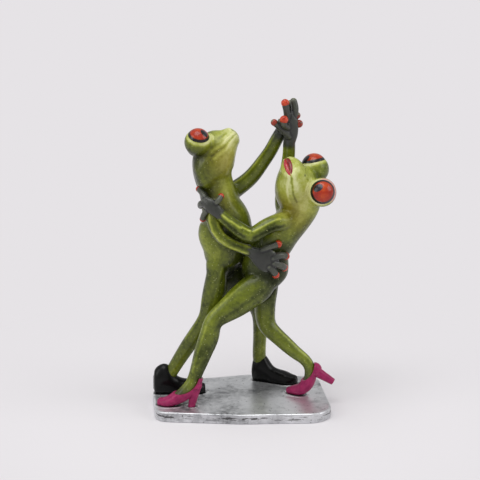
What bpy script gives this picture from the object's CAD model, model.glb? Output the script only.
import math

import bpy
import numpy as np
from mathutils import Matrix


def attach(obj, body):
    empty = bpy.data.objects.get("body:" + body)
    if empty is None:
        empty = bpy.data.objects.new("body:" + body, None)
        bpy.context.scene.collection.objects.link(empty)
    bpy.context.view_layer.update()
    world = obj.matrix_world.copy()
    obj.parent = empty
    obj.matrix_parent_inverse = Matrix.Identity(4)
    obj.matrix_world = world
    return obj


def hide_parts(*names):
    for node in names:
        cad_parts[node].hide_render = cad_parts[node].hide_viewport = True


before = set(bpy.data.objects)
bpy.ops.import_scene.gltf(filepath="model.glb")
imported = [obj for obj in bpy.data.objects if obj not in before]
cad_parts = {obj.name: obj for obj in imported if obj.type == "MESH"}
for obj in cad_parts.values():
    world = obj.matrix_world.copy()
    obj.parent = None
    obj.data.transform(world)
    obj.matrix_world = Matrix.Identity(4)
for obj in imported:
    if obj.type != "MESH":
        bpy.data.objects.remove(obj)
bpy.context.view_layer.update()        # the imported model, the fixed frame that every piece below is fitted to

# The studio: a plain pale sheet under and behind the ornament, a wide soft lamp above it, softer ones
# at its sides, and the camera fifteen degrees above the couple, where the picture was taken from.
paper_colour = "#E6E3E6"
paper_half_width = 4000.0
paper_lit_to, paper_even_from = 0.07, 0.20
room_light = 0.50
camera_height_angle = 15.0
camera_distance = 0.700
camera_target = (-0.0007, -0.0175, 0.09725)
lamp_target = (0.0, 0.0, 0.08)


def linear(colour):
    """What a shader takes: an sRGB hex colour made linear, or a grey level as it is, with full alpha."""
    if not isinstance(colour, str):
        return (colour, colour, colour, 1.0)
    parts = np.array([int(colour[at:at + 2], 16) for at in (1, 3, 5)]) / 255
    low, high = parts / 12.92, ((parts + 0.055) / 1.055) ** 2.4
    return (*np.where(parts <= 0.04045, low, high), 1.0)


def add(tree, kind, inputs=None, out=0, **settings):
    """Adds a shader node with its settings and gives one of its outputs. An input is a plain value, a hex
    colour or another node's output."""
    node = tree.nodes.new("ShaderNode" + kind)
    for name, value in settings.items():
        setattr(node, name, value)
    for name, value in (inputs or {}).items():
        if isinstance(value, bpy.types.NodeSocket):
            tree.links.new(value, node.inputs[name])
        else:
            node.inputs[name].default_value = linear(value) if isinstance(value, str) else value
    return node.outputs[out] if len(node.outputs) else None


def clear_tree(owner):
    """The emptied node tree of a material or of the world."""
    owner.use_nodes = True
    owner.node_tree.nodes.clear()
    return owner.node_tree


def in_scene(name, data):
    """An object with this mesh, lamp or lens, put in the scene. A mesh is shaded smooth."""
    if isinstance(data, bpy.types.Mesh):
        data.polygons.foreach_set("use_smooth", np.full(len(data.polygons), True))
        data.update()
    made = bpy.data.objects.new(name, data)
    bpy.context.scene.collection.objects.link(made)
    return made


def mesh_object(name, points, *corner_arrays):
    """A mesh in metres from points in millimetres and arrays of its faces' corners."""
    mesh = bpy.data.meshes.new(name)
    faces = sum((corners.tolist() for corners in corner_arrays), [])
    mesh.from_pydata((np.asarray(points) / 1000).tolist(), [], faces)
    return in_scene(name, mesh)


# Matt paper: it takes the ornament's soft shadow near it, and fades into an even backdrop further out
paper_material = bpy.data.materials.new("matt_paper")
tree = clear_tree(paper_material)
lit_paper = add(tree, "BsdfDiffuse", {"Color": paper_colour})
even_paper = add(tree, "Emission", {"Color": paper_colour, "Strength": 1.0})
where = add(tree, "TexCoord", out="Object")
distance = add(tree, "VectorMath", {0: where}, out="Value", operation="LENGTH")
far_away = add(
    tree, "MapRange", {"Value": distance, "From Min": paper_lit_to, "From Max": paper_even_from},
    interpolation_type="SMOOTHSTEP")
sheet = add(tree, "MixShader", {0: far_away, 1: lit_paper, 2: even_paper})
add(tree, "OutputMaterial", {"Surface": sheet})
corners = np.array([(-1, -1, 0), (1, -1, 0), (1, 1, 0), (-1, 1, 0)]) * paper_half_width
paper = mesh_object("paper", corners, np.array([(0, 1, 2, 3)]))
paper.data.materials.append(paper_material)

world = bpy.data.worlds.new("pale_room")
bpy.context.scene.world = world
tree = clear_tree(world)
camera_ray = add(tree, "LightPath", out="Is Camera Ray")
through_ray = add(tree, "LightPath", out="Is Transmission Ray")
seen = add(tree, "Math", {0: camera_ray, 1: through_ray}, operation="MAXIMUM")
room = add(tree, "Background", {"Color": "#FFFFFF", "Strength": room_light})
backdrop = add(tree, "Background", {"Color": paper_colour, "Strength": 1.0})
both = add(tree, "MixShader", {0: seen, 1: room, 2: backdrop})
add(tree, "OutputWorld", {"Surface": both})

for name, place_m, size_m, watts in (
    ("lamp_above", (-0.15, -0.25, 1.30), 0.90, 7.6),
    ("lamp_left", (-1.10, -0.45, 0.65), 0.70, 3.2),
    ("lamp_right", (1.05, -0.25, 0.75), 0.70, 3.6),
):
    lamp = bpy.data.lights.new(name, "AREA")
    lamp.size, lamp.energy = size_m, watts
    holder = in_scene(name, lamp)
    aim = np.array(lamp_target) - place_m
    holder.location = place_m
    holder.rotation_euler = (
        math.acos(-aim[2] / np.linalg.norm(aim)), 0, math.atan2(aim[1], aim[0]) - math.pi / 2)

lens = bpy.data.cameras.new("camera")
lens.lens, lens.sensor_width = 101.25, 36.0
lens.clip_start, lens.clip_end = 0.01, 20.0
camera = in_scene("camera", lens)
tilt = math.radians(camera_height_angle)
camera.location = np.array(camera_target) + camera_distance * np.array([0, -math.cos(tilt), math.sin(tilt)])
camera.rotation_euler = (math.radians(90) - tilt, 0, 0)
bpy.context.scene.camera = camera
bpy.context.scene.view_settings.view_transform = "Standard"

# The plate: one slab of cast resin, its corners rounded unevenly by hand in the mould master, painted
# silver, rubbed back so that dark patina stays in the hollows and along the worn front edge.
base_length, base_width, base_thickness = 96.0, 60.0, 5.5
edge_round, foot_round = 1.0, 0.6
plate_corner_shares = [
    (-0.474, -0.455, 0.08), (0.000, -0.517, 0.60), (0.516, -0.485, 0.13), (0.453, 0.435, 0.09),
    (0.062, 0.508, 0.40), (-0.335, 0.352, 0.12), (-0.511, 0.090, 0.07),
]
broad_dip, small_dip, side_inset, side_wave = 0.10, 0.035, 0.12, 0.10
rim_width, rim_height, sole_height = 1.5, 0.45, 1.5
points_per_corner, points_round_plate, points_over_edge = 12, 480, 7
shoe_nodes = ("leader_left_shoe", "leader_right_shoe", "follower_left_pump", "follower_right_pump")


def unit(vectors):
    """The vectors at length 1."""
    return vectors / np.maximum(np.linalg.norm(vectors, axis=-1, keepdims=True), 1e-9)


def round_circle(count):
    """Angles evenly round a circle."""
    return np.linspace(0, 2 * math.pi, count, endpoint=False)


def between(at, known, rows):
    """Rows read off at places between the known ones, column by column."""
    return np.stack([np.interp(at, known, column) for column in rows.T], -1)


def shell(rings):
    """A closed skin over rings of points: quads from ring to ring, and a fan to a middle point at both ends.
    It gives the points, the quads and the fans' triangles."""
    count, around = rings.shape[:2]
    points = np.concatenate([rings.reshape(-1, 3), [rings[0].mean(0)], [rings[-1].mean(0)]])
    ring, here = np.meshgrid(np.arange(count - 1) * around, np.arange(around), indexing="ij")
    after = (here + 1) % around
    quads = np.stack([ring + here, ring + after, ring + around + after, ring + around + here], -1)
    here, after = np.arange(around), (np.arange(around) + 1) % around
    last = (count - 1) * around
    start_fan = np.stack([np.full(around, count * around), after, here], -1)
    end_fan = np.stack([np.full(around, count * around + 1), last + here, last + after], -1)
    return points, quads.reshape(-1, 4), np.concatenate([start_fan, end_fan])


def ripples(points, size, seed):
    """A soft unevenness from -1 to 1: a sum of sine waves of about one size, turned every way."""
    waves = 12
    chance = np.random.default_rng(seed)
    ways = unit(chance.normal(size=(waves, 3)))
    pace = 2 * math.pi / (size * chance.uniform(0.7, 1.5, waves))
    start = chance.uniform(0, 2 * math.pi, waves)
    return np.sin((points @ ways.T) * pace + start).sum(-1) / math.sqrt(waves) / 1.5


def plate_outline():
    """The outline as arcs, one for each corner, that touch both of the corner's sides."""
    corners = np.array([(x * base_length, y * base_width) for x, y, _ in plate_corner_shares])
    radii = np.array([r * base_length for _, _, r in plate_corner_shares])[:, None]
    back, ahead = unit(np.roll(corners, 1, 0) - corners), unit(np.roll(corners, -1, 0) - corners)
    opening = np.arccos((back * ahead).sum(-1, keepdims=True))
    middle = corners + unit(back + ahead) * radii / np.sin(opening / 2)
    first = corners + back * radii / np.tan(opening / 2) - middle
    last = corners + ahead * radii / np.tan(opening / 2) - middle
    start = np.arctan2(first[:, 1], first[:, 0])[:, None]
    turn = (np.arctan2(last[:, 1], last[:, 0])[:, None] - start + math.pi) % (2 * math.pi) - math.pi
    angle = start + turn * np.linspace(0, 1, points_per_corner)[None]
    arcs = middle[:, None] + radii[:, None] * np.stack([np.cos(angle), np.sin(angle)], -1)
    return arcs.reshape(-1, 2)


def plate_rings():
    """The outline carried up a profile of inset and height, then drawn in ring by ring to the middle."""
    outline = plate_outline()
    outline = np.concatenate([outline, outline[:1]])
    run = np.concatenate([[0], np.cumsum(np.linalg.norm(np.diff(outline, axis=0), axis=1))])
    even = np.linspace(0, run[-1], points_round_plate + 1)[:-1]
    outline = between(even, run, outline)
    along = unit(np.roll(outline, -1, 0) - np.roll(outline, 1, 0))
    inward = np.stack([-along[:, 1], along[:, 0]], -1)
    quarter = np.linspace(0, math.pi / 2, points_over_edge)
    edge_start = base_thickness - edge_round
    profile = [(foot_round * (1 - math.sin(a)), foot_round * (1 - math.cos(a))) for a in quarter]
    profile += [(0.0, z) for z in np.linspace(foot_round, edge_start, points_over_edge)[1:]]
    profile += [(edge_round * (1 - math.cos(a)), edge_start + edge_round * math.sin(a)) for a in quarter[1:]]
    rings = [np.column_stack([outline + inward * inset, np.full(len(outline), height)])
             for inset, height in profile]
    floor_rings = [rings[0] * (share, share, 1) for share in np.linspace(0.02, 1, 12)[:-1]]
    top_rings = [rings[-1] * (share, share, 1) for share in np.linspace(1, 0.01, 60)[1:]]
    return np.array(floor_rings + rings + top_rings)


def coordinates(mesh, of="co"):
    """Every point's place in millimetres, or its normal."""
    values = np.empty(len(mesh.vertices) * 3, np.float32)
    mesh.vertices.foreach_get(of, values)
    return values.reshape(-1, 3).astype(float) * (1000 if of == "co" else 1)


def move_points(mesh, points):
    """Puts the mesh's points at places in millimetres."""
    mesh.vertices.foreach_set("co", (points / 1000).astype(np.float32).ravel())
    mesh.update()


def set_share(made, name, values):
    """Stores one number for each point of a piece, for its material to read."""
    layer = made.data.attributes.new(name, "FLOAT", "POINT")
    layer.data.foreach_set("value", values.astype(np.float32))


def near(points, line, width):
    """1 on a line of points, fading to 0 over a width on either side, as a bell curve."""
    reach = 3 * width
    close = np.flatnonzero(((points > line.min(0) - reach) & (points < line.max(0) + reach)).all(-1))
    gaps = np.linalg.norm(points[close, None] - line[None], axis=-1).min(-1)
    share = np.zeros(len(points))
    share[close] = np.exp(-(gaps / width) ** 2)
    return share


rings = plate_rings()
outward = unit(rings * (1, 1, 0))
upper = np.clip((rings[..., 2] - edge_round) / (base_thickness - edge_round), 0, 1)
sides = np.clip(1 - np.abs(upper - 0.5) * 2, 0, 1)
rings[..., 2] -= upper * (broad_dip * (1 + ripples(rings, 26.0, 3)) + small_dip * ripples(rings, 6.0, 4))
rings -= outward * (upper * (side_inset + side_wave * ripples(rings, 9.0, 5)) + side_wave * sides)[..., None]
plate = mesh_object("silver_plate", *shell(rings))

# The edge is worn most a little above half its height, and not on top
points = coordinates(plate.data)
height = points[:, 2]
edge_share = np.clip(1 - np.abs(height / base_thickness - 0.55) / 0.40, 0, 1)
set_share(plate, "edge", edge_share * (height < base_thickness - 0.25))

# Silver paint gathers in a bright rim round each sole, highest a little way off it
on_top = height > base_thickness - edge_round
rim_share = np.zeros(len(points))
for node in shoe_nodes:
    sole = coordinates(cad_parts[node].data)
    sole = sole[sole[:, 2] < base_thickness + sole_height][::3] * (1, 1, 0)
    rim_share[on_top] = np.maximum(rim_share[on_top], near(points[on_top] * (1, 1, 0), sole, rim_width))
points[:, 2] += rim_height * np.exp(-((rim_share - 0.45) / 0.25) ** 2) * (rim_share > 0.02)
move_points(plate.data, points)
set_share(plate, "rim", rim_share)


def new_material(name):
    """A material, its empty tree, and the coordinates of the piece itself."""
    made = bpy.data.materials.new(name)
    tree = clear_tree(made)
    return made, tree, add(tree, "TexCoord", out="Object")


def per(size):
    """The scale that gives a pattern one cell for every so many millimetres."""
    return 1000 / size


def noise(tree, where, size, detail, roughness=0.5):
    """A cloudy pattern, its clouds of about so many millimetres."""
    settings = {"Vector": where, "Scale": per(size), "Detail": detail, "Roughness": roughness}
    return add(tree, "TexNoise", settings)


def stored(tree, name):
    """The number that set_share stored under a name."""
    return add(tree, "Attribute", out="Fac", attribute_name=name)


def ramp(tree, value, stops):
    """A value made into a colour or grey level by stops, which are pairs of a value and what it becomes."""
    ramped = add(tree, "ValToRGB", {0: value})
    steps = ramped.node.color_ramp.elements
    while len(steps) < len(stops):
        steps.new(0.5)
    for step, (position, colour) in zip(steps, stops):
        step.position, step.color = position, linear(colour)
    return ramped


def mix(tree, factor, first, second, **settings):
    """The first colour where the factor is 0 and the second where it is 1. Inputs 6 and 7 and output 2 are
    the Mix node's colours."""
    return add(tree, "Mix", {0: factor, 6: first, 7: second}, out=2, data_type="RGBA", **settings)


def finish_surface(tree, colour, roughness, height, height_mm, **shader):
    """The shader with its colour and roughness, and a bump of a real height in millimetres."""
    bump = add(tree, "Bump", {"Height": height, "Distance": height_mm / 1000, "Strength": 1.0})
    inputs = {"Base Color": colour, "Roughness": roughness, "Normal": bump}
    inputs.update({name.replace("_", " "): value for name, value in shader.items()})
    surface = add(tree, "BsdfPrincipled", inputs)
    add(tree, "OutputMaterial", {"Surface": surface})


# Silver paint on resin: fine leafing flakes in lacquer, brushed on and rubbed, so it shines softly in
# broad patches, with dull grey where it is thin and brown-black patina in the pits and worn edges.
bright_silver, dark_patina, thin_silver = "#F2F3F5", "#2C2A28", "#8A8A8C"
silver_paint, tree, where = new_material("rubbed_silver_paint")
broad = noise(tree, where, 22, 3, 0.55)
brushed = noise(tree, where, 3.2, 6, 0.65)
pits = noise(tree, where, 1.6, 4, 0.7)
drawn_out = add(tree, "Mapping", {"Vector": where, "Scale": (0.14, 0.14, 0.85)})
worn = noise(tree, drawn_out, 1.1, 5, 0.7)
edge = stored(tree, "edge")
rim = stored(tree, "rim")
paint = ramp(tree, broad, [(0.34, "#7E7F82"), (0.46, "#B9BABD"), (0.62, "#E2E3E6")])
strokes = ramp(tree, brushed, [(0.40, 0.0), (0.66, 0.60)])
paint = mix(tree, strokes, paint, "#F0F1F3")
ring = ramp(tree, rim, [(0.10, 0.0), (0.30, 0.9), (0.70, 0.9), (0.90, 0.0)])
broken = ramp(tree, brushed, [(0.42, 0.0), (0.50, 1.0)])
splashed = mix(tree, 1.0, ring, broken, blend_type="MULTIPLY")
paint = mix(tree, splashed, paint, bright_silver)
seam = ramp(tree, rim, [(0.84, 0.0), (0.97, 0.8)])
paint = mix(tree, seam, paint, dark_patina)
marks = ramp(tree, worn, [(0.43, 1.0), (0.47, 0.0)])
wear = mix(tree, 1.0, marks, edge, blend_type="MULTIPLY")
patina = ramp(tree, pits, [(0.31, 0.85), (0.38, 0.0)])
patina = mix(tree, 1.0, patina, wear, blend_type="LIGHTEN")
thin = mix(tree, 1.0, edge, "#707070", blend_type="MULTIPLY")
paint = mix(tree, thin, paint, thin_silver)
paint = mix(tree, patina, paint, dark_patina)
shine = ramp(tree, broad, [(0.35, 0.44), (0.65, 0.29)])
finish_surface(tree, paint, shine, brushed, 0.16, Metallic=0.80)
plate.data.materials.append(silver_paint)
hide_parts("base_plate")
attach(plate, "root")

# The frogs' skins: each frog is cast resin, its trunk, head and limbs smoothed into each other, then
# airbrushed from dark olive in the folds to yellow-green on face, throat and ridges, and varnished.
couple_width, couple_depth, couple_height = 100.0, 50.0, 165.0
body_thickness, arm_thickness = 24.0, 8.0
leg_thickness = {"leader": 10.0, "follower": 12.0}
leader_head_length, follower_head_length = 33.0, 35.0
skin_grain = 0.5
skin_rounds, putty_rounds, last_rounds, rounds_per_normal = 14, 140, 4, 8
putty_everywhere = 0.12
least_radius = 0.3
relief_offset, paint_spread = 0.35, 1.15

# A row of a trunk or limb is its place, as shares of the couple's width, depth and height, and its two radii,
# as shares of half the limb's thickness. A skull's row is its way forward, middle, height and width, as
# shares of the head's length.
body_shares = {
    "leader": [
        (-0.104, 0.06, 0.424, 0.40, 0.54), (-0.101, 0.06, 0.453, 0.74, 0.85),
        (-0.096, 0.04, 0.494, 0.92, 0.87), (-0.092, 0.04, 0.534, 1.16, 0.90),
        (-0.078, 0.04, 0.581, 1.10, 0.98), (-0.102, 0.04, 0.631, 0.92, 0.98),
        (-0.123, 0.04, 0.674, 0.80, 0.83), (-0.138, 0.04, 0.710, 0.80, 0.75),
        (-0.152, 0.04, 0.749, 0.85, 0.79), (-0.146, 0.03, 0.787, 0.92, 0.80),
        (-0.129, 0.03, 0.824, 0.86, 0.82),
    ],
    "follower": [
        (0.111, 0.00, 0.356, 0.42, 0.54), (0.116, 0.00, 0.390, 0.80, 0.85), (0.124, 0.00, 0.424, 1.03, 0.93),
        (0.135, 0.00, 0.461, 1.00, 0.90), (0.150, 0.00, 0.498, 0.90, 0.83), (0.183, 0.00, 0.534, 0.90, 0.83),
        (0.240, 0.00, 0.571, 0.78, 0.87), (0.284, 0.00, 0.601, 0.73, 0.82), (0.313, -0.01, 0.628, 0.73, 0.72),
        (0.324, -0.03, 0.660, 0.79, 0.72), (0.303, -0.03, 0.697, 0.84, 0.72),
        (0.298, -0.07, 0.730, 0.76, 0.66),
    ],
}
leg_shares = {
    "leader_right": [
        (-0.122, -0.04, 0.477, 1.14, 1.20), (-0.128, -0.06, 0.446, 1.06, 1.16),
        (-0.145, -0.08, 0.394, 1.00, 1.06), (-0.168, -0.08, 0.333, 0.92, 0.94),
        (-0.184, -0.07, 0.277, 0.90, 0.90), (-0.223, -0.05, 0.231, 0.88, 0.88),
        (-0.278, -0.02, 0.179, 0.84, 0.84), (-0.334, 0.02, 0.122, 0.76, 0.76),
        (-0.379, 0.04, 0.074, 0.70, 0.72), (-0.402, 0.05, 0.045, 0.66, 0.68),
        (-0.410, 0.05, 0.025, 0.56, 0.58),
    ],
    "leader_left": [
        (-0.068, 0.19, 0.464, 1.66, 1.26), (-0.062, 0.24, 0.380, 1.84, 1.32),
        (0.000, 0.31, 0.327, 1.50, 1.28), (0.068, 0.38, 0.284, 1.06, 1.06), (0.099, 0.42, 0.238, 0.86, 0.90),
        (0.105, 0.43, 0.186, 0.78, 0.80), (0.102, 0.43, 0.128, 0.74, 0.76), (0.102, 0.43, 0.078, 0.74, 0.76),
        (0.108, 0.43, 0.045, 0.68, 0.70), (0.112, 0.43, 0.022, 0.56, 0.58),
    ],
    "follower_left": [
        (0.121, -0.08, 0.404, 1.26, 1.18), (0.089, -0.14, 0.386, 1.38, 1.24),
        (0.035, -0.19, 0.363, 1.38, 1.18), (-0.028, -0.24, 0.336, 1.23, 1.08),
        (-0.097, -0.27, 0.307, 0.98, 0.92), (-0.147, -0.29, 0.279, 0.82, 0.82),
        (-0.169, -0.30, 0.236, 0.88, 0.82), (-0.196, -0.31, 0.189, 0.83, 0.77),
        (-0.224, -0.33, 0.140, 0.69, 0.69), (-0.246, -0.34, 0.101, 0.60, 0.60),
        (-0.262, -0.355, 0.076, 0.62, 0.58), (-0.296, -0.355, 0.050, 0.60, 0.54),
        (-0.344, -0.345, 0.027, 0.46, 0.54), (-0.392, -0.33, 0.012, 0.32, 0.50),
        (-0.428, -0.315, 0.008, 0.20, 0.34),
    ],
    "follower_right": [
        (0.133, 0.10, 0.394, 1.10, 1.10), (0.134, 0.12, 0.362, 1.10, 1.10), (0.130, 0.13, 0.316, 1.00, 1.03),
        (0.129, 0.12, 0.272, 0.93, 0.97), (0.142, 0.08, 0.231, 0.83, 0.87), (0.186, 0.04, 0.202, 0.72, 0.75),
        (0.246, 0.00, 0.171, 0.67, 0.68), (0.305, -0.02, 0.141, 0.58, 0.62),
        (0.349, -0.03, 0.119, 0.52, 0.55), (0.372, -0.04, 0.094, 0.50, 0.52),
        (0.371, -0.05, 0.064, 0.48, 0.50), (0.354, -0.04, 0.036, 0.45, 0.53),
        (0.324, -0.02, 0.018, 0.36, 0.54), (0.290, 0.01, 0.012, 0.26, 0.42), (0.266, 0.02, 0.009, 0.16, 0.24),
    ],
}
arm_shares = {
    "leader_left": [
        (-0.092, 0.14, 0.652, 1.26, 1.35), (-0.061, 0.18, 0.669, 1.22, 1.30),
        (-0.012, 0.21, 0.689, 1.13, 1.16), (0.052, 0.22, 0.721, 1.05, 1.05), (0.110, 0.20, 0.768, 0.95, 0.95),
        (0.157, 0.17, 0.813, 0.88, 0.90), (0.185, 0.15, 0.847, 0.85, 0.86), (0.201, 0.14, 0.865, 0.84, 0.78),
        (0.224, 0.14, 0.890, 0.88, 0.68), (0.244, 0.13, 0.916, 0.80, 0.62), (0.257, 0.12, 0.934, 0.52, 0.48),
    ],
    "leader_right": [
        (-0.138, -0.08, 0.663, 1.15, 1.15), (-0.146, -0.15, 0.638, 1.00, 1.05),
        (-0.148, -0.20, 0.612, 0.90, 0.95), (-0.135, -0.23, 0.583, 0.80, 0.85),
        (-0.104, -0.26, 0.557, 0.78, 0.80), (-0.054, -0.27, 0.537, 0.73, 0.75),
        (-0.002, -0.27, 0.524, 0.70, 0.70), (0.045, -0.265, 0.513, 0.76, 0.62),
        (0.077, -0.262, 0.501, 1.05, 0.54), (0.114, -0.26, 0.487, 1.50, 0.54),
        (0.145, -0.25, 0.477, 1.62, 0.54), (0.176, -0.23, 0.470, 1.25, 0.44),
    ],
    "follower_left": [
        (0.246, -0.10, 0.598, 1.25, 1.30), (0.210, -0.17, 0.602, 1.22, 1.25),
        (0.165, -0.23, 0.599, 1.12, 1.15), (0.107, -0.28, 0.585, 1.05, 1.05),
        (0.050, -0.32, 0.570, 1.02, 1.00), (-0.007, -0.31, 0.586, 0.98, 0.95),
        (-0.059, -0.29, 0.608, 0.87, 0.83), (-0.106, -0.27, 0.631, 0.78, 0.68),
        (-0.134, -0.26, 0.646, 0.85, 0.58), (-0.163, -0.25, 0.663, 0.88, 0.55),
        (-0.186, -0.22, 0.674, 0.65, 0.48),
    ],
    "follower_right": [
        (0.254, 0.10, 0.596, 1.20, 1.20), (0.228, 0.17, 0.621, 1.12, 1.12), (0.219, 0.20, 0.652, 0.98, 1.00),
        (0.228, 0.20, 0.699, 0.88, 0.90), (0.241, 0.16, 0.754, 0.85, 0.88), (0.250, 0.10, 0.804, 0.83, 0.85),
        (0.251, 0.06, 0.842, 0.80, 0.83), (0.257, 0.03, 0.869, 0.95, 0.70), (0.259, 0.02, 0.896, 0.98, 0.68),
        (0.255, 0.01, 0.920, 0.90, 0.62), (0.252, 0.01, 0.936, 0.60, 0.48),
    ],
}
wrist_rows = {"leader_left": 7, "leader_right": 7, "follower_left": 7, "follower_right": 6}
skull_shares = [
    (-0.400, -0.550, 0.040, 0.060), (-0.350, -0.520, 0.150, 0.160), (-0.242, -0.440, 0.250, 0.240),
    (-0.090, -0.400, 0.300, 0.285), (0.090, -0.375, 0.302, 0.302), (0.273, -0.328, 0.254, 0.296),
    (0.412, -0.262, 0.204, 0.264), (0.508, -0.238, 0.157, 0.216), (0.564, -0.240, 0.106, 0.150),
    (0.590, -0.246, 0.040, 0.056),
]
eye_spread_share, eye_rise_share, lid_thickness = 0.245, 0.25, 0.8


def placed(rows, thickness):
    """Rows of shares as millimetres: a place in the couple's box above the plate, and two radii."""
    rows = np.array(rows, float)
    spots = rows[:, :3] * (couple_width, couple_depth, couple_height) + (0, 0, base_thickness)
    return np.column_stack([spots, rows[:, 3:] * thickness / 2])


def through(rows, spacing):
    """The smooth line through the rows, every column alike: a natural cubic spline over the distance."""
    steps = np.linalg.norm(np.diff(rows[:, :3], axis=0), axis=1)
    at = np.concatenate([[0], np.cumsum(steps)])
    inner = np.arange(1, len(rows) - 1)
    weights, bends = np.eye(len(rows)), np.zeros_like(rows)
    weights[inner, inner - 1], weights[inner, inner + 1] = steps[:-1], steps[1:]
    weights[inner, inner] = 2 * (steps[:-1] + steps[1:])
    slopes = np.diff(rows, axis=0) / steps[:, None]
    bends[inner] = 6 * np.diff(slopes, axis=0)
    bends = np.linalg.solve(weights, bends)
    wanted = np.linspace(0, at[-1], max(4, int(at[-1] / spacing)))
    span = np.clip(np.searchsorted(at, wanted) - 1, 0, len(steps) - 1)
    width = steps[span][:, None]
    after = (wanted - at[span])[:, None]
    before = width - after
    low, high = bends[span], bends[span + 1]
    return (low * before ** 3 + high * after ** 3) / (6 * width) + (
        rows[span] / width - low * width / 6) * before + (rows[span + 1] / width - high * width / 6) * after


def tube(rows, spacing=0.7, around=44):
    """A limb: ellipses square to the route with the rows' two radii, and half-round ends."""
    line = through(rows, spacing)
    centre, radii = line[:, :3], np.maximum(line[:, 3:5], least_radius)
    along = unit(np.gradient(centre, axis=0))
    lean = np.linspace(0, math.radians(86), 8)[1:, None]

    def cap(end, way):
        """Ever smaller rings past one end of the route: their middles, radii and ways."""
        tips = centre[end] + along[end] * (way * radii[end].min() * np.sin(lean))
        return tips, radii[end] * np.cos(lean), np.repeat(along[end][None], len(lean), 0)

    start = [part[::-1] for part in cap(0, -1)]
    centre, radii, along = map(np.vstack, zip(start, (centre, radii, along), cap(-1, 1)))
    side = unit(np.cross((0.0, 1.0, 0.0), along))
    other = np.cross(along, side)
    turn = round_circle(around)
    rings = (centre[:, None] + side[:, None] * (radii[:, :1] * np.cos(turn))[..., None]
             + other[:, None] * (radii[:, 1:] * np.sin(turn))[..., None])
    return shell(rings)


def ball(middle, radii, axes=np.eye(3), rows=24, around=40):
    """An egg or a ball: a half circle of rings about the third axis, closed at its poles."""
    lean = np.linspace(0, math.pi, rows + 1)[1:-1, None]
    turn = round_circle(around)[None]
    local = np.stack([np.sin(lean) * np.cos(turn), np.sin(lean) * np.sin(turn), np.cos(lean) + 0 * turn], -1)
    return shell(np.asarray(middle) + (local * radii) @ np.asarray(axes))


def together(shells):
    """Several closed skins as one: each skin's corners count on from the points before it."""
    points, quads, fans = zip(*shells)
    before = np.cumsum([0] + [len(some) for some in points[:-1]])
    return (np.concatenate(points), np.concatenate([some + count for some, count in zip(quads, before)]),
            np.concatenate([some + count for some, count in zip(fans, before)]))


def edge_pairs(mesh):
    """The two points that every edge joins."""
    pairs = np.empty(len(mesh.edges) * 2, np.int32)
    mesh.edges.foreach_get("vertices", pairs)
    return pairs.reshape(-1, 2)


def neighbour_mean(values, edges):
    """For every point the mean of its neighbours' values."""
    total, count = np.zeros_like(values), len(values)
    for axis in range(values.shape[1]):
        total[:, axis] = (np.bincount(edges[:, 0], values[edges[:, 1], axis], count)
                          + np.bincount(edges[:, 1], values[edges[:, 0], axis], count))
    return total / np.bincount(edges.ravel(), minlength=count)[:, None]


def smoothed(points, edges, rounds):
    """Every round each point goes half way to its neighbours' mean, then back by a little more than that,
    so that ripples go and the girth stays."""
    for _ in range(rounds):
        for share in (0.5, -0.52):
            points = points + share * (neighbour_mean(points, edges) - points)
    return points


def cast(name, shells, grain, rounds, fills=(), filling_rounds=0):
    """One casting: closed skins melted together at a grain and smoothed. Putty then fills the folds: a point
    below its neighbours' mean comes out to it, again and again, over the whole skin a little, and more about
    each of the fills, which are a line of points, a width and a share."""
    rough = mesh_object(name + "_rough", *together(shells))
    melt = rough.modifiers.new("melt", "REMESH")
    melt.mode, melt.voxel_size, melt.adaptivity = "VOXEL", grain / 1000, 0.0
    mesh = bpy.data.meshes.new_from_object(rough.evaluated_get(bpy.context.evaluated_depsgraph_get()))
    bpy.data.objects.remove(rough)
    edges = edge_pairs(mesh)
    points = smoothed(coordinates(mesh), edges, rounds)
    if filling_rounds:
        putty = np.full(len(points), putty_everywhere)
        for line, width, share in fills:
            putty = np.maximum(putty, share * near(points, line, width))
        for turn in range(filling_rounds):
            if turn % rounds_per_normal == 0:
                move_points(mesh, points)
                normals = coordinates(mesh, "normal")
            gap = ((neighbour_mean(points, edges) - points) * normals).sum(-1)
            points = points + (putty * np.maximum(gap, 0))[:, None] * normals
        points = smoothed(points, edges, last_rounds)
    move_points(mesh, points)
    mesh.name = name
    return in_scene(name, mesh)


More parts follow.
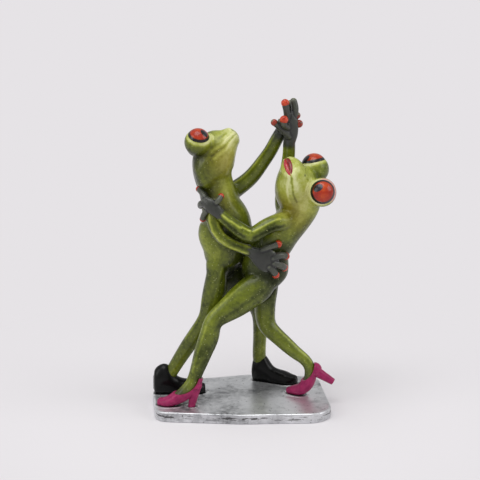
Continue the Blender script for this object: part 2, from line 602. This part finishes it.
class Head:
    """A head's frame: the middle between the eyes, and the ways its face, left side and crown point."""

    def __init__(self, length, spot_shares, face, left, eye_diameter, aim):
        self.length = length
        self.middle = placed([(*spot_shares, 1, 1)], 1)[0, :3]
        self.face = unit(np.array(face, float))
        self.left = unit(np.array(left, float) - self.face * (np.array(left) @ self.face))
        self.crown = np.cross(self.face, self.left)
        self.eye, self.aim = eye_diameter / 2, aim

    def at(self, forward, sideways, up):
        """A place given in millimetres forward, to the left and up from between the eyes."""
        steps = np.stack(np.broadcast_arrays(forward, sideways, up), -1).astype(float)
        return self.middle + steps @ np.array([self.face, self.left, self.crown])

    def look(self, side):
        """The way an eye looks, -1 for the right one and 1 for the left."""
        forward, outward, up = self.aim
        return unit(self.face * forward + self.left * (side * outward) + self.crown * up)

    def socket(self, side):
        """The middle of an eye's bulge."""
        return self.at(0, side * eye_spread_share * self.length, 0)

    def pupil_middle(self, side):
        """The middle of the eyeball, a little out of the bulge."""
        return self.socket(side) + self.look(side) * eye_rise_share * self.eye

    def round_eye(self, points, side):
        """Each point's way and distance from the middle of an eye, and its angle from the gaze in degrees."""
        out = points - self.pupil_middle(side)
        way = unit(out)
        angle = np.degrees(np.arccos(np.clip(way @ self.look(side), -1, 1)))
        return way, np.linalg.norm(out, axis=-1), angle

    def on_skin(self, stops, side):
        """A line over the skull through stops, each a way forward and an angle up from the cheek."""
        stops = np.array(stops, float)
        at = np.linspace(0, len(stops) - 1, 40)
        forward, lift = between(at, np.arange(len(stops)), stops).T
        table = np.array(skull_shares) * self.length
        middle, height, width = between(forward, table[:, 0], table[:, 1:]).T
        lift = np.radians(lift)
        return self.at(forward, side * width * np.cos(lift), middle + height * np.sin(lift))

    def skull(self):
        """The skull, its sections square to the face's way from nape to snout, and a bulge for each eye."""
        forward, middle, height, width = [column[:, None] for column in through(
            np.array(skull_shares)[:, [0, 1, 1, 2, 3]] * self.length, 0.7)[:, [0, 1, 3, 4]].T]
        turn = round_circle(60)
        rings = self.at(forward, width * np.cos(turn), middle + height * np.sin(turn))
        bulges = [ball(self.socket(side), self.eye + lid_thickness) for side in (-1, 1)]
        return [shell(rings), *bulges]


leader_head = Head(
    length=leader_head_length, spot_shares=(-0.2265, 0.04, 0.842), eye_diameter=12.2,
    face=(0.80, 0.155, 0.58), left=(0.0, 0.966, -0.259), aim=(0.577, 0.663, 0.485))
follower_head = Head(
    length=follower_head_length, spot_shares=(0.403, -0.04, 0.726), eye_diameter=13.6,
    face=(-0.429, -0.561, 0.707), left=(0.18, -0.82, -0.54), aim=(0.71, 0.65, 0.26))

# Resin that fills his figure beyond plain limbs: the back of his far thigh, the inside of his near one,
# and a web that joins the two bellies
thigh_back = np.array([
    (-7.0, 9.5, 83.0, 5.0, 5.0), (-7.6, 11.0, 76.0, 6.8, 6.4), (-7.6, 12.2, 69.0, 7.2, 6.6),
    (-4.6, 13.8, 63.0, 6.6, 6.2), (-0.5, 15.3, 58.0, 5.4, 5.4), (3.5, 17.0, 54.0, 4.0, 4.0),
])
inner_thigh = np.array([
    (-13.5, -2.8, 80.0, 5.3, 5.3), (-13.2, -3.8, 70.0, 5.2, 5.0), (-13.8, -3.9, 62.0, 4.7, 4.6),
    (-16.2, -3.7, 55.0, 4.3, 4.2), (-19.6, -3.0, 48.0, 3.8, 3.8),
])
belly_web = np.array([
    (5.0, 0.5, 97.0, 2.6, 3.0), (4.2, 1.0, 91.0, 3.6, 3.4), (2.4, 3.0, 85.0, 4.2, 3.8),
    (0.6, 4.5, 81.0, 3.6, 3.4),
])
body_rows = {who: placed(rows, body_thickness) for who, rows in body_shares.items()}
arm_rows = {side: placed(rows, arm_thickness) for side, rows in arm_shares.items()}
leg_rows = {
    side: placed(rows, leg_thickness[side.split("_")[0]]) for side, rows in leg_shares.items()}


def frog_shells(who, head):
    """A frog's trunk, its legs, its arms as far as the wrists, and its head, still apart."""
    sides = [who + "_left", who + "_right"]
    legs = [tube(leg_rows[side]) for side in sides]
    arms = [tube(arm_rows[side][:wrist_rows[side] + 1]) for side in sides]
    return [tube(body_rows[who]), *legs, *arms, *head.skull()]


def face_fills(head):
    """Putty where throat and skull meet, round both eyes and between them."""
    throat = head.at(np.linspace(-14, 6, 12), 0, np.linspace(-16, -26, 12))
    sockets = [(head.socket(side)[None], 8.5, 0.8) for side in (-1, 1)]
    return [(throat, 14.0, 1.0), *sockets, (head.at(9.0, 0.0, -4.0)[None], 8.0, 1.0)]


far_thigh_line = np.array([(-8.0, 12.0, 76.0), (-7.0, 13.0, 66.0), (0.0, 15.0, 57.0), (6.0, 18.0, 51.0)])
groin_line = np.array([(-4.0, 2.0, 76.0), (1.0, 5.0, 79.0)])
waist_line = np.array([(-20.0, -7.0, 105.0), (-21.0, -2.0, 105.0), (-21.0, 4.0, 105.0), (-20.0, 9.0, 105.0)])
added_resin = [
    tube(thigh_back, spacing=0.6, around=40), tube(inner_thigh, spacing=0.6, around=40),
    tube(belly_web, spacing=0.6, around=30),
]
body_fills = [(far_thigh_line, 7.0, 1.0), (groin_line, 7.0, 1.0), (waist_line, 8.0, 1.0)]
leader_skin = cast(
    "leader_skin", frog_shells("leader", leader_head) + added_resin, skin_grain, skin_rounds,
    body_fills + face_fills(leader_head), putty_rounds)
follower_skin = cast(
    "follower_skin", frog_shells("follower", follower_head), skin_grain, skin_rounds,
    face_fills(follower_head), putty_rounds)


def relief(mesh, full=0.035):
    """How far each point stands out, from -1 in a fold to 1 on a ridge: its height above its neighbours
    in millimetres, softened, as a share of a full ridge's."""
    points, edges = coordinates(mesh), edge_pairs(mesh)
    gap = neighbour_mean(points, edges) - points
    height = -(gap * coordinates(mesh, "normal")).sum(-1, keepdims=True)
    for _ in range(3):
        height = neighbour_mean(height, edges)
    return np.clip(height[:, 0] / full - relief_offset, -1, 1)


def smooth_step(values, low, high):
    """0 below the low value, 1 above the high one, and an even S between them."""
    share = np.clip((values - low) / (high - low), 0, 1)
    return share * share * (3 - 2 * share)


def along_limb(rows, first, last, way):
    """A line on a limb's skin between two of its rows, on the side that faces a way."""
    at = np.linspace(first, last, 60)
    centre = between(at, np.arange(len(rows)), rows[:, :3])
    radius = np.interp(at, np.arange(len(rows)), rows[:, 3:].mean(-1))
    run = unit(np.gradient(centre, axis=0))
    out = np.array(way, float) - run * (run @ np.array(way, float))[:, None]
    return centre + unit(out) * radius[:, None]


def carve(made, strokes):
    """Raises a ridge or cuts a groove along each stroke: a line, its width and its height in millimetres."""
    points, normals = coordinates(made.data), coordinates(made.data, "normal")
    push = np.zeros(len(points))
    for line, width, height, _ in strokes:
        push += height * near(points, line, width)
    move_points(made.data, points + normals * push[:, None])


def painted(points, strokes, zones):
    """What the brush adds to the tone: along each stroke, and over each zone of a middle and a width."""
    tone = np.zeros(len(points))
    for line, width, _, change in strokes:
        tone += change * near(points, line, width * paint_spread)
    for middle, width, change in zones:
        tone += change * near(points, np.array([middle], float), width)
    return tone


def end_fade(points, rows, at_row, reach):
    """1 beyond a row of a limb's table, as far as the stump goes, fading to 0 over a reach before it."""
    stump_length, stump_width = 14, 9
    spot = rows[at_row, :3]
    way = unit(rows[at_row, :3] - rows[at_row - 1, :3])
    along = (points - spot) @ way
    aside = np.linalg.norm(points - spot - along[:, None] * way, axis=-1)
    return smooth_step(along, -reach, 0.5) * (aside < stump_width) * (along < stump_length)


def lid_rim(points, head, side):
    """1 on the lip of skin round an eye, 73 degrees off the gaze, fading to 0 over a millimetre or so."""
    _, away, angle = head.round_eye(points, side)
    return np.exp(-((angle - 73) / 10) ** 2) * (away < head.eye + 2.4)


def pink_lid(points, head, side):
    """The pink bloom on the crown's side of a lid: full from 66 to 74 degrees off the gaze, gone at 100."""
    way, away, angle = head.round_eye(points, side)
    ring = smooth_step(angle, 60, 66) * (1 - smooth_step(angle, 74, 100)) * (away < head.eye + 3.0)
    return 0.8 * ring * smooth_step(way @ head.crown, 0.10, 0.60)


def skin_material(name, fold, shade, body, lit, glow):
    """Airbrushed resin under gloss varnish: greens by how far a point stands out and how it is turned,
    mottled at 9 mm and 1.6 mm, with pale specks of about half a millimetre. No varnish lies in the folds."""
    made, tree, where = new_material(name)
    tone, soot, warm, blush = [stored(tree, word) for word in ("tone", "soot", "warm", "blush")]
    mottle = noise(tree, where, 9, 5, 0.62)
    fine = noise(tree, where, 1.6, 4, 0.65)
    wander = add(tree, "Math", {0: mottle, 1: 0.50, 2: tone}, operation="MULTIPLY_ADD")
    wander = add(tree, "Math", {0: fine, 1: 0.34, 2: wander}, operation="MULTIPLY_ADD")
    depth = add(tree, "Math", {0: wander, 1: 0.42}, operation="SUBTRACT")
    greens = [(0.02, fold), (0.27, shade), (0.48, body), (0.72, lit), (0.97, glow)]
    paint = ramp(tree, depth, greens)
    ochre = ramp(tree, depth, [(0.05, "#332E04"), (0.45, "#867A1C"), (0.90, "#C9C070")])
    paint = mix(tree, warm, paint, ochre)
    cells = add(tree, "TexVoronoi", {"Vector": where, "Scale": per(1.15), "Randomness": 1.0})
    chosen = noise(tree, where, 2.6, 3)
    dots = ramp(tree, cells, [(0.07, 0.90), (0.22, 0.0)])
    kept = ramp(tree, chosen, [(0.51, 0.0), (0.58, 1.0)])
    specks = mix(tree, 1.0, dots, kept, blend_type="MULTIPLY")
    paint = mix(tree, specks, paint, "#C9CB8C")
    paint = mix(tree, blush, paint, "#D98E9A")
    paint = mix(tree, soot, paint, "#262A1E")
    shine = ramp(tree, fine, [(0.3, 0.42), (0.7, 0.26)])
    varnish = ramp(tree, depth, [(0.05, 0.0), (0.35, 0.22)])
    gloss = ramp(tree, depth, [(0.05, 0.05), (0.35, 0.32)])
    finish_surface(tree, paint, shine, fine, 0.10, Coat_Weight=varnish, Coat_Roughness=0.12,
                   Specular_IOR_Level=gloss)
    return made


# A stroke is a line, its width and height in millimetres, and what it adds to the tone
up_left = (-0.5, -0.5, 0.7)
his_left_arm, his_right_arm = arm_rows["leader_left"], arm_rows["leader_right"]
her_left_arm, her_right_arm = arm_rows["follower_left"], arm_rows["follower_right"]
his_near_leg = leg_rows["leader_right"]
near_leg, far_leg = leg_rows["follower_left"], leg_rows["follower_right"]
leader_strokes = [
    (along_limb(his_right_arm, 1.5, 7.0, (-0.3, -0.8, -0.35)), 0.6, 0.28, 0.30),
    (along_limb(his_right_arm, 2.5, 7.0, (0.5, -0.6, 0.9)), 0.6, 0.15, 0.10),
    (along_limb(his_right_arm, 2.0, 7.0, (0.1, -1.0, 0.3)), 0.8, -0.20, -0.08),
    (along_limb(his_left_arm, 1.5, 7.0, (-0.5, -0.7, 0.8)), 0.7, 0.20, 0.22),
    (along_limb(his_near_leg, 3.0, 5.8, (-1.0, -0.4, 0.1)), 0.8, 0.20, 0.12),
    (along_limb(his_near_leg, 1.0, 4.5, (0.5, -1.0, 0.0)), 0.9, 0.15, 0.08),
]
follower_strokes = [
    (along_limb(her_left_arm, 4.2, 7.2, up_left), 0.55, 0.28, 0.26),
    (along_limb(her_left_arm, 1.6, 3.8, (0.1, -0.85, 0.55)), 0.6, 0.28, 0.22),
    (along_limb(her_left_arm, 4.4, 7.0, (-0.2, -1.0, -0.3)), 0.9, -0.25, -0.12),
    (along_limb(her_left_arm, 1.4, 4.0, (0.2, -1.0, -0.25)), 1.0, -0.25, -0.12),
    (along_limb(her_right_arm, 1.0, 5.6, (-0.9, -0.5, 0.2)), 0.7, 0.15, 0.10),
    (along_limb(near_leg, 1.0, 4.6, up_left), 0.9, 0.20, 0.05),
    (along_limb(near_leg, 1.2, 4.2, (0.3, -1.0, -0.1)), 1.3, -0.18, -0.08),
    (along_limb(near_leg, 5.4, 8.6, (-0.7, -0.8, 0.0)), 0.8, 0.18, 0.08),
    (along_limb(far_leg, 4.4, 8.4, (0.6, -0.6, 0.7)), 0.8, 0.20, 0.14),
    (along_limb(far_leg, 1.0, 4.2, (0.9, -0.6, 0.2)), 0.8, 0.15, 0.08),
]

# On his face the mouth, the folds above and below it, the hollow of the cheek, the brow and the nostril; on
# hers the mouth, the fold under it, the ridge of the cheek, the nostril and a small pit
mouth = [(18.6, -8), (15.5, -8), (10.6, 0), (5.4, 10), (1.3, 14)]
fold_above = [(forward - 0.2, lift + 12) for forward, lift in mouth]
fold_below = [(forward - 0.3, lift - 12) for forward, lift in mouth]
for side in (-1, 1):
    leader_strokes += [(leader_head.on_skin(stops, side), *brush) for stops, *brush in (
        (mouth, 0.45, -0.24, -0.10), (fold_above, 0.6, 0.20, 0.10), (fold_below, 0.6, 0.17, 0.09),
        ([(14.0, 34), (9.0, 40), (5.0, 36)], 1.0, -0.25, -0.12),
        ([(18.0, 60), (12.0, 72), (7.0, 66)], 0.9, 0.15, 0.04),
        ([(18.3, 36), (18.2, 38)], 0.40, -0.35, -0.6))]
    follower_strokes += [(follower_head.on_skin(stops, side), *brush) for stops, *brush in (
        ([(18.9, -6), (16.1, -14), (10.6, -9), (3.2, -2)], 0.42, -0.22, -0.28),
        ([(18.9, -22), (14.5, -36), (10.1, -28), (4.8, -23)], 0.7, 0.25, 0.16),
        ([(19.6, 44), (18.9, 6), (16.5, 6), (10.6, 8)], 0.8, 0.15, 0.08),
        ([(12.9, 60), (12.7, 61)], 0.40, -0.40, -0.8), ([(9.6, 62), (9.2, 66)], 0.35, -0.12, -0.3))]
carve(leader_skin, leader_strokes)
carve(follower_skin, follower_strokes)

# A zone is a middle, a width in millimetres, and what it adds to the tone, or how warm it is
leader_zones = [
    (leader_head.at(15.0, -5.0, -7.0), 9.0, 0.42), (leader_head.at(4.0, -6.0, -18.0), 8.0, 0.12),
    (leader_head.at(-6.0, -6.0, -6.0), 7.0, -0.16), ((-15.0, -8.0, 118.0), 7.0, -0.20),
    ((-21.0, -6.0, 90.0), 10.0, 0.28), ((-3.0, -2.0, 76.0), 12.0, -0.22), ((-3.0, -8.0, 96.0), 9.0, -0.14),
    ((-11.0, -6.0, 84.0), 6.0, 0.04), ((0.0, 12.0, 70.0), 12.0, -0.22), ((-8.0, -6.0, 122.0), 7.0, 0.26),
]
follower_zones = [
    (follower_head.at(14.0, 3.0, -5.0), 10.0, 0.40), (follower_head.at(2.0, 9.0, -8.0), 9.0, 0.36),
    (follower_head.at(13.0, 6.0, -12.0), 6.0, 0.26), (follower_head.at(12.0, 2.0, -17.0), 6.0, 0.14),
    ((17.0, -9.0, 101.0), 7.0, 0.36), ((27.0, -8.0, 108.0), 8.0, 0.20), ((6.0, -10.0, 97.0), 7.0, -0.35),
    ((15.0, -13.0, 103.0), 6.0, -0.30), ((14.0, -10.0, 86.0), 9.0, -0.22),
    ((2.0, -6.0, 74.0), 7.0, -0.22), ((18.0, -11.0, 76.0), 7.0, -0.22), ((14.0, 4.0, 64.0), 8.0, -0.20),
    (near_leg[-1, :3], 8.0, -0.40), (far_leg[-1, :3], 8.0, -0.40), ((-22.0, -20.0, 30.0), 10.0, -0.10),
    ((-3.0, -14.0, 104.0), 6.0, -0.16), ((-24.0, -18.0, 34.0), 7.0, -0.10),
    ((27.0, -10.0, 109.5), 3.2, -0.30), ((38.0, -8.0, 111.0), 6.0, 0.16),
]
leader_warm = [(leader_head.at(6.0, -6.0, -16.0), 9.0, 0.85), ((-10.0, -8.0, 116.0), 8.0, 0.35)]
follower_warm = [
    (follower_head.at(2.0, 6.0, -18.0), 8.0, 0.75), ((30.0, -8.0, 106.0), 8.0, 0.45),
    (follower_head.at(4.0, 8.0, -6.0), 6.0, 0.35),
]

# Charcoal from the hands runs up the arms as far as the given reach, and is sprayed on the other frog
# about the palm that lies there, and into her pumps
palm_on_hip, palm_on_back = arm_rows["leader_right"][9, :3], arm_rows["follower_left"][9, :3]
leader_soot = [(palm_on_back, 5.0, 0.72)]
follower_soot = [
    (palm_on_hip + (4.0, 1.5, -6.0), 11.0, 0.72), (np.array([-33.5, -21.0, 13.5]), 5.5, 0.85),
    (np.array([34.5, -3.0, 15.5]), 5.5, 0.85),
]
relief_tone, light_tone, rim_tone = 0.22, 0.15, 0.42

for skin, head, who, lit_from, base, strokes, zones, warm_zones, sooted_arms, soot_spots, colours in (
    (leader_skin, leader_head, "leader", (0.60, -0.45, 0.60), 0.39, leader_strokes, leader_zones, leader_warm,
     (("leader_left", 6.0), ("leader_right", 3.0)), leader_soot,
     ("varnished_resin_olive", "#121702", "#363E08", "#667014", "#A2AA40", "#DADC9C")),
    (follower_skin, follower_head, "follower", (-0.50, -0.45, 0.70), 0.37, follower_strokes, follower_zones,
     follower_warm, (("follower_left", 1.2), ("follower_right", 3.5)), follower_soot,
     ("varnished_resin_green", "#141A03", "#3C4508", "#6B7616", "#A6AE42", "#DADD9E")),
):
    points, normals = coordinates(skin.data), coordinates(skin.data, "normal")
    tone = base + relief_tone * relief(skin.data) + light_tone * (normals @ unit(np.array(lit_from)))
    tone += rim_tone * sum(lid_rim(points, head, side) for side in (-1, 1)) + painted(points, strokes, zones)
    stumps = [end_fade(points, arm_rows[name], wrist_rows[name], reach) for name, reach in sooted_arms]
    sprays = [share * near(points, spot[None], width) for spot, width, share in soot_spots]
    set_share(skin, "tone", tone)
    set_share(skin, "soot", np.max(stumps + sprays, 0))
    set_share(skin, "warm", np.clip(painted(points, (), warm_zones), 0, 1))
    set_share(skin, "blush", pink_lid(points, head, 1) * (who == "follower"))
    skin.data.materials.append(skin_material(*colours))
    parts = ("torso", "head", "left_arm", "right_arm", "left_leg", "right_leg")
    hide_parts(*[who + "_" + part for part in parts])
    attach(skin, "root")

# The eyes: glass-smooth resin domes set in the lids, enamelled orange-red with a black rim and pupil. Each
# looks its own way, and the rim of her far eye starts further out.
pupil_half_width, pupil_half_height = 0.31, 0.40
rim_fade = 3.0


def eye_shape(head, side):
    """A dome with its pole on the way the eye looks: rings by the angle from that pole."""
    look = head.look(side)
    flat = unit(np.cross(head.face, look))
    axes = np.array([np.cross(flat, look), flat, look])
    return ball(head.pupil_middle(side), head.eye, axes, rows=64, around=96)


def eye_material(name):
    """Enamel under clear lacquer: iris, black rim, and an oval pupil with a grey bloom in it."""
    made, tree, where = new_material(name)
    angle = stored(tree, "rim_angle")
    pupil = stored(tree, "pupil")
    cloudy = noise(tree, where, 4, 3)
    iris = ramp(tree, cloudy, [(0.35, "#961C02"), (0.50, "#AE2E04"), (0.66, "#C2480C")])
    bloom = ramp(tree, cloudy, [(0.45, "#0D0C10"), (0.70, "#3A3A4A")])
    paint = mix(tree, angle, iris, "#0C0708")
    paint = mix(tree, pupil, paint, bloom)
    finish_surface(tree, paint, 0.30, cloudy, 0.03, Coat_Weight=0.30, Coat_Roughness=0.04,
                   Specular_IOR_Level=0.35)
    return made


eye_enamels = {who: eye_material("enamelled_eye_" + who) for who in ("leader", "follower")}
for head, who, side, word, gaze_shares, rim_from in (
    (leader_head, "leader", -1, "right", (0.773, 0.629, 0.086), 49.0),
    (leader_head, "leader", 1, "left", (0.773, 0.629, 0.086), 49.0),
    (follower_head, "follower", -1, "right", (0.93, 0.20, -0.30), 52.5),
    (follower_head, "follower", 1, "left", (0.96, 0.27, -0.02), 49.5),
):
    eye = mesh_object(who + "_" + word + "_eye_dome", *eye_shape(head, side))
    way, _, angle = head.round_eye(coordinates(eye.data), side)
    set_share(eye, "rim_angle", smooth_step(angle, rim_from, rim_from + rim_fade))
    forward, outward, up = gaze_shares
    gaze = unit(head.face * forward + head.left * side * outward + head.crown * up)
    level = unit(np.cross(head.crown, gaze))
    rise = np.cross(gaze, level)
    behind = way @ gaze < 0
    reach = np.hypot(way @ level / pupil_half_width, way @ rise / pupil_half_height)
    set_share(eye, "pupil", (1 - smooth_step(reach, 0.9, 1.05)) * ~behind)
    eye.data.materials.append(eye_enamels[who])
    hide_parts(who + "_" + word + "_eye")
    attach(eye, "root")

# The lips: an almond of two full lips on the tip of her snout, cast with the head, in red enamel, the
# lower one caught by the light.
lip_half_width, lip_girth = 6.4, 1.15
lip_forward, lip_rise = 20.35, -8.5
lip_bow, lip_pout, lip_droop, lip_parting = 1.45, 0.95, 0.4, 0.92
across = np.linspace(-1, 1, 61)[:, None]
turn = round_circle(24)[None]
swell = np.sqrt(1 - (0.995 * across) ** 2)
lips, lip_tones = [], []
for upper in (-1, 1):
    forward = lip_forward - lip_bow * across ** 2 + lip_pout * swell * np.cos(turn)
    rise = lip_rise - lip_droop * across ** 2 + lip_girth * swell * (upper * lip_parting + np.sin(turn))
    lips.append(shell(follower_head.at(forward, lip_half_width * across + 0 * turn, rise)))
    lip_tones.append(np.full(len(lips[-1][0]), 0.5 - 0.5 * upper))
pout = mesh_object("red_lips", *together(lips))
set_share(pout, "tone", np.concatenate(lip_tones))

# Red enamel, wet-looking: dark in the upper lip's shade, lighter and rosy on the lower one
lip_enamel, tree, where = new_material("red_lip_enamel")
cloudy = noise(tree, where, 1.5, 3)
which = stored(tree, "tone")
dark_lip = ramp(tree, cloudy, [(0.3, "#6E0810"), (0.7, "#8E1219")])
light_lip = ramp(tree, cloudy, [(0.3, "#A81E26"), (0.7, "#C23A40")])
paint = mix(tree, which, dark_lip, light_lip)
finish_surface(tree, paint, 0.32, cloudy, 0.05, Coat_Weight=0.5, Coat_Roughness=0.12)
pout.data.materials.append(lip_enamel)
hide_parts("follower_head")
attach(pout, "root")

# The hands: long fingers with round pads, cast with the palm, painted charcoal over the green, each pad
# dotted with orange enamel from a brush.
finger_thickness = 3.8
hand_grain, hand_rounds = 0.28, 8
wrist_overlap, palm_fullness = 1.5, 0.97
pad_set_back, pad_girth, pad_length = 0.12, 1.06, 1.05
hand_tone, hand_relief_tone, hand_ridge = 0.14, 0.40, 0.012

# A finger's row is its place, as shares of the couple's width, depth and height, and its girth, as a share of
# a finger's thickness
finger_shares = {
    "leader_left": [
        [(0.244, 0.11, 0.910, 1.05), (0.278, 0.09, 0.921, 0.90), (0.291, 0.05, 0.931, 0.90)],
        [(0.234, 0.11, 0.890, 1.05), (0.281, 0.09, 0.896, 0.95), (0.301, 0.04, 0.905, 1.05)],
        [(0.252, 0.11, 0.929, 1.00), (0.257, 0.12, 0.951, 0.83), (0.255, 0.10, 0.968, 0.83)],
        [(0.211, 0.11, 0.876, 1.00), (0.197, 0.09, 0.896, 0.83), (0.205, 0.07, 0.911, 0.83)],
    ],
    "leader_right": [
        [(0.092, -0.26, 0.509, 0.95), (0.145, -0.255, 0.524, 0.83), (0.194, -0.22, 0.533, 1.00)],
        [(0.160, -0.245, 0.489, 1.25), (0.200, -0.215, 0.494, 1.05), (0.237, -0.15, 0.486, 0.98)],
        [(0.165, -0.24, 0.472, 1.25), (0.201, -0.21, 0.462, 1.05), (0.228, -0.14, 0.447, 0.98)],
        [(0.145, -0.25, 0.462, 1.20), (0.167, -0.24, 0.445, 1.05), (0.182, -0.22, 0.430, 0.98)],
    ],
    "follower_left": [
        [(-0.176, -0.24, 0.669, 0.90), (-0.199, -0.17, 0.689, 0.78), (-0.223, -0.07, 0.701, 0.83)],
        [(-0.150, -0.25, 0.659, 0.95), (-0.122, -0.26, 0.675, 0.83), (-0.104, -0.22, 0.689, 0.80)],
        [(-0.177, -0.235, 0.662, 1.03), (-0.206, -0.18, 0.661, 0.95), (-0.214, -0.10, 0.648, 0.85)],
        [(-0.160, -0.24, 0.652, 0.95), (-0.189, -0.23, 0.635, 0.78), (-0.202, -0.17, 0.610, 0.83)],
    ],
    "follower_right": [
        [(0.242, 0.00, 0.922, 1.10), (0.234, -0.02, 0.951, 0.95), (0.226, -0.03, 0.975, 1.05)],
        [(0.267, 0.02, 0.921, 1.10), (0.279, 0.03, 0.952, 1.00), (0.271, 0.05, 0.975, 1.00)],
        [(0.235, -0.02, 0.898, 1.15), (0.218, -0.08, 0.913, 1.00), (0.220, -0.09, 0.925, 1.10)],
        [(0.249, 0.01, 0.867, 1.15), (0.206, -0.04, 0.895, 0.90), (0.169, -0.07, 0.915, 0.90)],
    ],
}

# How dull each finger's pad is dotted, from bright orange to thin dark red; None stands for a bare tip
pad_dullness = {
    "leader_left": (0.75, 0.65, None, None), "leader_right": (0.0, 0.1, 0.0, 0.0),
    "follower_left": (0.0, 0.2, None, 0.25), "follower_right": (0.0, None, 0.0, 0.7),
}


def finger_rows(rows):
    """A finger's three joints in millimetres, round in section."""
    return placed(np.array(rows, float)[:, [0, 1, 2, 3, 3]], finger_thickness)


def hand_shells(name):
    """The palm from just inside the wrist, and its four fingers, thinnest at the knuckle."""
    palm = arm_rows[name][wrist_rows[name]:]
    inside = palm[0].copy()
    inside[:3] -= wrist_overlap * unit(palm[1, :3] - palm[0, :3])
    shells = [tube(np.vstack([inside, palm]) * (1, 1, 1, palm_fullness, palm_fullness), spacing=0.4)]
    return shells + [tube(finger_rows(rows), spacing=0.3, around=24) for rows in finger_shares[name]]


def pad_shell(rows):
    """An egg over the tip of a finger, its long axis along the last joint."""
    knuckle, tip = finger_rows(rows)[1:, :3]
    radius = finger_rows(rows)[2, 3]
    way = unit(tip - knuckle)
    flat = unit(np.cross(way, (0.1, 0.9, 0.2)))
    axes = np.array([flat, np.cross(way, flat), way])
    return ball(tip - way * pad_set_back, radius * np.array([pad_girth, pad_girth, pad_length]), axes)


# Charcoal paint over the green: nearly black in the folds, worn to a greenish grey on the knuckles
charcoal, tree, where = new_material("charcoal_painted_resin")
cloudy = noise(tree, where, 5, 4)
fine = noise(tree, where, 1.2, 3)
tone = stored(tree, "tone")
wander = add(tree, "Math", {0: cloudy, 1: 0.4, 2: tone}, operation="MULTIPLY_ADD")
greys = [(0.10, "#0F100D"), (0.42, "#33362E"), (0.66, "#56594A"), (0.92, "#8B9150")]
paint = ramp(tree, wander, greys)
finish_surface(tree, paint, 0.42, fine, 0.06, Coat_Weight=0.25, Coat_Roughness=0.25)

# Orange enamel from a loaded brush, glossy where it is thick and a dull red where it is thin
pad_enamel, tree, where = new_material("orange_pad_enamel")
cloudy = noise(tree, where, 1.5, 3)
dull = stored(tree, "dull")
bright_dot = ramp(tree, cloudy, [(0.35, "#A8280E"), (0.60, "#CC4620")])
dull_dot = ramp(tree, cloudy, [(0.35, "#4E1A14"), (0.60, "#7C2C22")])
paint = mix(tree, dull, bright_dot, dull_dot)
finish_surface(tree, paint, 0.30, cloudy, 0.05, Coat_Weight=0.25, Coat_Roughness=0.12,
               Specular_IOR_Level=0.35)

for name in arm_rows:
    hand = cast(name + "_palm_and_fingers", hand_shells(name), hand_grain, hand_rounds)
    set_share(hand, "tone", hand_tone + hand_relief_tone * relief(hand.data, hand_ridge))
    hand.data.materials.append(charcoal)
    dotted = [(pad_shell(rows), dull) for rows, dull in zip(finger_shares[name], pad_dullness[name])
              if dull is not None]
    tips = mesh_object(name + "_finger_pads", *together([pad for pad, _ in dotted]))
    set_share(tips, "dull", np.concatenate([np.full(len(pad[0]), dull) for pad, dull in dotted]))
    tips.data.materials.append(pad_enamel)
    for piece in (hand, tips):
        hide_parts(name + "_hand")
        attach(piece, "root")

# The shoes: black lace-less ankle shoes on the leader, magenta court shoes on the follower, cast with
# the feet in them and brush-painted in gloss enamel.


def shoe_enamel(name, low, high, roughness):
    """Gloss enamel brushed on resin: almost even, a little lighter where it is thin."""
    made, tree, where = new_material(name)
    brushed = noise(tree, where, 2.5, 4)
    paint = ramp(tree, brushed, [(0.35, low), (0.65, high)])
    finish_surface(tree, paint, roughness, brushed, 0.05, Coat_Weight=0.10, Coat_Roughness=0.10,
                   Specular_IOR_Level=0.16)
    return made


def repaint(node, material):
    """Gives a node of the frame a new material and leaves its mesh alone."""
    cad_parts[node].data.materials.clear()
    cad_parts[node].data.materials.append(material)


shoe_enamels = {
    "leader": shoe_enamel("black_shoe_enamel", "#040404", "#0C0C0C", 0.32),
    "follower": shoe_enamel("magenta_shoe_enamel", "#8E2152", "#A62E60", 0.30),
}
for node in shoe_nodes:
    repaint(node, shoe_enamels[node.split("_")[0]])

# The dowels: drawn steel wire, glued into drilled holes at the feet, hips, shoulders and necks; none shows.
# Drawing leaves the steel evenly grey with faint streaks.
steel, tree, where = new_material("drawn_steel_wire")
drawn = noise(tree, where, 0.5, 2)
paint = ramp(tree, drawn, [(0.3, "#8C8E90"), (0.7, "#B4B6B8")])
finish_surface(tree, paint, 0.35, drawn, 0.01, Metallic=1.0)
for node in ("foot_pins", "neck_pins", "hip_pins", "shoulder_pins"):
    repaint(node, steel)
